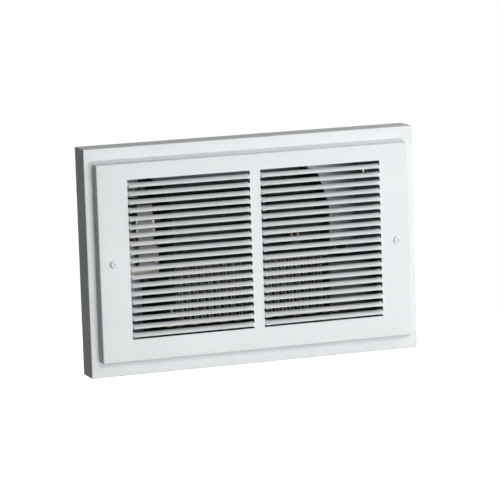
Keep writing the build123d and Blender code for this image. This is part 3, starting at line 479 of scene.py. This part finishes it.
def bladeMesh():  # one blade at the window's middle: a flat neck, a short twist, then the full strip
    p = panel
    half, full = p["bankWidth"] / 2, p["bladeWidth"]
    stations = [  # distance from the window's side, width, share of the twist, how far the neck sits low
        (-0.1, p["neck"], 0.0, p["neckDrop"]),
        (0.15, p["neck"], 0.08, p["neckDrop"]),
        (0.4, p["neck"], 0.33, p["neckDrop"]),
        (0.65, p["neck"] + 0.2, 0.6, p["neckDrop"]),
        (0.8, p["neck"] + 0.8, 0.72, p["neckDrop"]),
        (0.9, full - 0.8, 0.77, 0.0),
        (1.1, full, 0.8, 0.0),
        (2.0, full, 0.87, 0.0),
        (3.5, full, 0.94, 0.0),
        (6.0, full, 0.99, 0.0),
        (10.0, full, 1.0, 0.0),
    ]
    stations += [(2 * half - place, *rest) for place, *rest in reversed(stations)]
    thick, nick = p["bladeSheet"] / 2, p["bladeNick"]
    spots = (0.67, 0.33, 0.0, -0.33, -0.67)  # places along the width that follow the crown
    shape = bmesh.new()
    rings = []
    for distance, width, twist, low in stations:
        turn = math.radians(twist * p["angle"])
        up = Vector((0, math.sin(turn), math.cos(turn)))
        out = Vector((0, -math.cos(turn), math.sin(turn)))
        edge = 1 - 2 * nick / width
        front = [(spot, thick) for spot in (edge, *spots, -edge)]
        front = [(1.0, thick - nick), *front, (-1.0, thick - nick)]
        ring = []
        for along, across in front + [(along, -across) for along, across in reversed(front)]:
            crown = p["crown"] * twist ** 2 * (width / full) ** 2 * (1 - along ** 2)
            point = up * (along * width / 2 - low) + out * (across + crown)
            ring.append(shape.verts.new((
                (distance - half) * mm, (p["face"] + p["sheet"] / 2 + point.y) * mm, point.z * mm)))
        rings.append(ring)
    for first, second in zip(rings, rings[1:]):
        bridge(shape, first, second)
    shape.faces.new(rings[0])
    shape.faces.new(rings[-1])
    return meshFrom("blade", shape)


def louvrePanel():
    p = panel
    maker, wires = growTree(
        "louvres", Blade="Object", Blades="Int", Pitch="Float", Lift="Float", Bank="Float", Paint="Material")
    blade = shapeOf(maker, wires["Blade"])
    middle = (wires["Blades"] - 1) * wires["Pitch"] * 0.5
    bank = inRow(maker, blade, wires["Blades"], {"Z": wires["Lift"] - middle}, {"Z": wires["Pitch"]})
    sides = []
    for side in (-1, 1):
        shift = maker.add("ShaderNodeCombineXYZ", {}, {"X": wires["Bank"] * side})
        sides.append(maker.add("GeometryNodeTransform", {}, {"Geometry": bank, "Translation": shift}))
    joined = maker.add("GeometryNodeJoinGeometry", {}, {"Geometry": sides + [wires["Geometry"]]})
    endTree(maker, joined, wires["Paint"])
    made = grow("louvrePanel", maker, {
        "Blade": bladeMesh(), "Blades": p["blades"], "Pitch": p["pitch"] * mm, "Lift": p["bankLift"] * mm,
        "Bank": p["bankX"] * mm, "Paint": finishes["white_enamel"]}, panelTray())
    asPiece("louvrePanel", made, "housing", "white_enamel", "grille")


louvrePanel()
print("louvred panel made:", panel["blades"], "blades a bank")

screws = {  # millimetres, and shares where noted
    "head": 3.9,
    "rise": 2.3,
    "rim": 0.22,  # share of the rise below the dome
    "rimFoot": 0.4,  # share of the rim where it turns under
    "undercut": 0.12,
    "domeSteps": 8,
    "fullness": (0.75, 0.55),  # of the dome's curve, outwards and forwards
    "shank": 2.1,
    "length": 23.0,
    "thread": 1.6,
    "threadDepth": 0.28,
    "threadFrom": 0.6,
    "plainEnd": 2.0,
    "tip": 1.2,
    "tipWidth": 0.55,  # share of the shank
    "sides": 32,
    "crossWidth": 1.1,
    "crossReach": 2.1,
    "crossDepth": 1.5,
    "crossFloor": (0.45, 0.55),  # shares of the reach and the width left at its floor
    "overshoot": 0.5,
}


def screwMesh():  # a pan head that sits on the panel at y = 0, and its threaded shank
    s = screws
    rim, (outwards, forwards) = s["rim"], s["fullness"]
    profile = []
    for step in range(1, s["domeSteps"] + 1):
        turn = math.radians(90 * step / s["domeSteps"])
        dome = (1 - rim) * math.cos(turn) ** forwards
        profile.append((s["head"] * math.sin(turn) ** outwards, -s["rise"] * (rim + dome)))
    profile += [
        (s["head"], -rim * s["rise"] * s["rimFoot"]), (s["head"] - s["undercut"], 0.0), (s["shank"], 0.0)]
    root = s["shank"] - s["threadDepth"]
    for turn in range(int((s["length"] - s["plainEnd"]) / s["thread"])):
        start = s["threadFrom"] + turn * s["thread"]
        profile += [(root, start), (s["shank"], start + s["thread"] / 2)]
    profile += [(root, s["length"] - s["tip"]), (s["shank"] * s["tipWidth"], s["length"])]
    return spun("screwBody", profile, s["sides"])


def crossMesh():  # the cutter of a cross recess, which narrows inwards
    s = screws
    mouth = (-s["rise"] - s["overshoot"], 1.0, 1.0)
    floor = (s["crossDepth"] - s["rise"], *s["crossFloor"])
    shape = bmesh.new()
    for alongX, alongZ in ((1.0, 0.0), (0.0, 1.0)):
        loops = []
        for y, reach, width in (mouth, floor):
            long, wide = s["crossReach"] * reach, s["crossWidth"] / 2 * width
            x, z = long * alongX + wide * alongZ, long * alongZ + wide * alongX
            loops.append([shape.verts.new((a * x * mm, y * mm, b * z * mm))
                          for a, b in ((-1, -1), (1, -1), (1, 1), (-1, 1))])
        bridge(shape, *loops)
        for loop in loops:
            shape.faces.new(loop)
    return meshFrom("crossCutter", shape)


def panelScrews():
    maker, wires = growTree(
        "screws", Body="Object", Cross="Object", Spread="Float", Face="Float", Paint="Material")
    cut = maker.add("GeometryNodeMeshBoolean", {"operation": "DIFFERENCE", "solver": "EXACT"}, {
        "Mesh 1": shapeOf(maker, wires["Body"]), "Mesh 2": shapeOf(maker, wires["Cross"]),
        "Self Intersection": True})
    pair = inRow(maker, cut, 2, {"X": wires["Spread"] * -0.5, "Y": wires["Face"]}, {"X": wires["Spread"]})
    endTree(maker, pair, wires["Paint"])
    made = grow("panelScrews", maker, {
        "Body": screwMesh(), "Cross": crossMesh(), "Spread": 2 * panel["screwX"] * mm,
        "Face": panel["face"] * mm, "Paint": finishes["white_enamel"]})
    smoothEdges(made)
    asPiece("panelScrews", made, "housing", "white_enamel", "grille_screws")


panelScrews()

coil = {  # millimetres, and shares where noted
    "wire": 0.62,
    "fill": 0.98,  # share of the wire's size that is drawn, so that turns don't touch
    "sunk": 0.3,  # share of the wire's size by which the inner layers lie under the outer turns
    "corner": 3.0,
    "cornerSteps": 5,
    "sides": 8,
    "innerWidth": 19.1,
}


def coilWinding():  # turns of wire side by side over the inner layers
    low, high = (Vector(corner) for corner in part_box("coil_winding"))
    size, middle = high - low, (low + high) / 2
    maker, wires = growTree(
        "turns", Width="Float", Height="Float", Corner="Float", Wire="Float", Turns="Int", Span="Float",
        Layers="Float", Middle="Vector", Paint="Material")
    wire, layers, span = wires["Wire"], wires["Layers"], wires["Span"]

    def swept(inset, section):
        loop = maker.add("GeometryNodeCurvePrimitiveQuadrilateral", {}, {
            "Width": wires["Width"] - inset * 2, "Height": wires["Height"] - inset * 2})
        path = maker.add("GeometryNodeFilletCurve", {"mode": "POLY"}, {
            "Curve": loop, "Radius": wires["Corner"], "Count": coil["cornerSteps"]})
        return maker.add("GeometryNodeCurveToMesh", {}, {"Curve": path, "Profile Curve": section})

    strand = maker.add("GeometryNodeCurvePrimitiveCircle", {}, {
        "Resolution": coil["sides"], "Radius": wire * (coil["fill"] / 2)})
    turns = inRow(
        maker, swept(wire * 0.5, strand), wires["Turns"], {"Z": (span - wire) * -0.5},
        {"Z": (span - wire) / (wires["Turns"] - 1)})
    flat = maker.add("GeometryNodeCurvePrimitiveQuadrilateral", {}, {
        "Width": layers - wire * (2 * coil["sunk"]), "Height": span})
    core = swept(layers * 0.5 + wire * coil["sunk"], flat)
    joined = maker.add("GeometryNodeJoinGeometry", {}, {"Geometry": [turns, core]})
    laid = maker.add("GeometryNodeTransform", {}, {
        "Geometry": joined, "Translation": wires["Middle"], "Rotation": (math.pi / 2, 0.0, 0.0)})
    endTree(maker, laid, wires["Paint"])
    made = grow("coilWinding", maker, {
        "Width": size.x, "Height": size.z, "Corner": (coil["corner"] - coil["wire"] / 2) * mm,
        "Wire": coil["wire"] * mm, "Turns": int(size.y / mm / coil["wire"]), "Span": size.y,
        "Layers": (size.x - coil["innerWidth"] * mm) / 2, "Middle": middle,
        "Paint": finishes["enamelled_wire"]})
    smoothEdges(made)
    asPiece("coilWinding", made, "housing", "enamelled_wire", "coil_winding")


coilWinding()

blanks = {  # the can's unused cable holes, millimetres
    "profile": [  # radius and y of a disc pressed a little outwards, with a pry dimple
        (1.08, -0.035),
        (1.8, -0.35),
        (10.65, -0.35),
        (10.98, -0.245),
        (11.1, -0.105),
        (11.1, 0.3),
        (1.08, 0.3),
    ],
    "sides": 40,
    "places": [  # middle on the can, turn about X, turn about Z, in degrees
        ((-122.0, 34.0, 97.0), -90, 0),
        ((122.0, 34.0, 97.0), -90, 0),
        ((-122.0, 34.0, -97.0), 90, 0),
        ((148.0, 34.0, 20.0), 0, 90),
        ((-148.0, 34.0, 20.0), 0, -90),
    ],
}


def canBlanks():
    maker, wires = growTree("blanks", Disc="Object", Metal="Material")
    disc = shapeOf(maker, wires["Disc"])
    placed = []
    for place, aboutX, aboutZ in blanks["places"]:
        placed.append(maker.add("GeometryNodeTransform", {}, {
            "Geometry": disc, "Translation": tuple(part * mm for part in place),
            "Rotation": (math.radians(aboutX), 0.0, math.radians(aboutZ))}))
    joined = maker.add("GeometryNodeJoinGeometry", {}, {"Geometry": placed})
    endTree(maker, joined, wires["Metal"])
    made = grow("canBlanks", maker, {
        "Disc": spun("blankDisc", blanks["profile"], blanks["sides"]), "Metal": finishes["galvanised"]})
    smoothEdges(made)
    asPiece("canBlanks", made, "housing", "galvanised")


canBlanks()
print("screws, coil and can blanks made")

camera = {
    "azimuth": -19.52,
    "elevation": 8.67,
    "roll": -1.90,
    "distance": 3.35611,
    "aim": (0.00518, -0.00237, -0.00329),
    "focal": 3257.11 / 500,  # in widths of the picture
    "sensor": 36.0,
    "reach": 200.0,
}


def placeCamera():
    turn, rise = math.radians(camera["azimuth"]), math.radians(camera["elevation"])
    back = Vector((math.sin(turn) * math.cos(rise), -math.cos(turn) * math.cos(rise), math.sin(rise)))
    roll = Quaternion((0, 0, 1), math.radians(camera["roll"]))
    data = bpy.data.cameras.new("camera")
    data.sensor_width, data.clip_end = camera["sensor"], camera["reach"]
    data.lens = camera["focal"] * camera["sensor"]
    made = bpy.data.objects.new("camera", data)
    scene.collection.objects.link(made)
    made.location = Vector(camera["aim"]) + back * camera["distance"]
    made.rotation_mode = "QUATERNION"
    made.rotation_quaternion = (-back).to_track_quat("-Z", "Y") @ roll
    scene.camera = made


placeCamera()

studio = {
    "floorZ": -0.42,
    "floorReach": 60.0,
    "floor": (0.42, 0.42, 0.42),
    "glow": 1.25,  # of the floor where it shows white
    "glowShare": 0.8,
    "ambient": 0.03,
    "glossy": 0.6,  # how much of the white a mirrored ray finds
    "lamps": [  # name, place, width, height, watts
        ("key", (0.10, -2.45, 1.12), 0.5, 0.9, 25.5),
        ("side", (1.10, -1.60, 0.10), 0.7, 0.7, 2.5),
        ("low", (0.32, -1.45, -0.36), 0.6, 0.1, 8.4),
        ("top", (0.80, -0.45, 0.62), 0.4, 0.4, 3.2),
        ("back", (0.60, 1.90, -0.10), 0.8, 0.4, 14.0),
    ],
}


def whiteShare(maker):  # 1 for rays that should find white, less for mirrored ones
    path = maker.add("ShaderNodeLightPath").socket.node
    seen, gloss, through = (Wire(maker, path.outputs[name]) for name in (
        "Is Camera Ray", "Is Glossy Ray", "Is Transmission Ray"))
    return seen + through + gloss * studio["glossy"]


def whiteBackdrop():
    world = bpy.data.worlds.new("studio")
    world.use_nodes = True
    scene.world = world
    sky = NodeTree(world.node_tree)
    background = world.node_tree.nodes["Background"]
    level = (whiteShare(sky) + studio["ambient"]).atMost(1.0)
    sky.tree.links.new(level.socket, background.inputs["Strength"])
    background.inputs["Color"].default_value = (1.0, 1.0, 1.0, 1.0)


def paleFloor():  # matt under the lamps, white to the camera, clear from below
    material = bpy.data.materials.new("paleFloor")
    material.use_nodes = True
    material.node_tree.nodes.clear()
    tree = NodeTree(material.node_tree)
    matt = tree.add("ShaderNodeBsdfDiffuse", {}, {"Color": (*studio["floor"], 1.0)})
    white = tree.add("ShaderNodeEmission", {}, {"Color": (1.0, 1.0, 1.0, 1.0), "Strength": studio["glow"]})
    clear = tree.add("ShaderNodeBsdfTransparent")
    below = Wire(tree, tree.add("ShaderNodeNewGeometry").socket.node.outputs["Backfacing"])
    shown = tree.add("ShaderNodeMixShader", {}, {0: whiteShare(tree) * studio["glowShare"], 1: matt, 2: white})
    surface = tree.add("ShaderNodeMixShader", {}, {0: below, 1: shown, 2: clear})
    tree.add("ShaderNodeOutputMaterial", {}, {"Surface": surface})

    corners = [(x * studio["floorReach"], y * studio["floorReach"], studio["floorZ"])
               for x, y in ((-1, -1), (1, -1), (1, 1), (-1, 1))]
    mesh = bpy.data.meshes.new("floor")
    mesh.from_pydata(corners, [], [(0, 1, 2, 3)])
    mesh.materials.append(material)
    floor = bpy.data.objects.new("floor", mesh)
    scene.collection.objects.link(floor)


def placeLamps():  # all aim at the origin
    for name, place, width, height, watts in studio["lamps"]:
        data = bpy.data.lights.new(name, "AREA")
        data.shape, data.size, data.size_y, data.energy = "RECTANGLE", width, height, watts
        lamp = bpy.data.objects.new(name, data)
        scene.collection.objects.link(lamp)
        lamp.location = place
        lamp.rotation_mode = "QUATERNION"
        lamp.rotation_quaternion = (-Vector(place)).to_track_quat("-Z", "Y")
        lamp.visible_camera = False


whiteBackdrop()
paleFloor()
placeLamps()
scene.view_settings.view_transform = "Standard"
print("studio and camera placed")
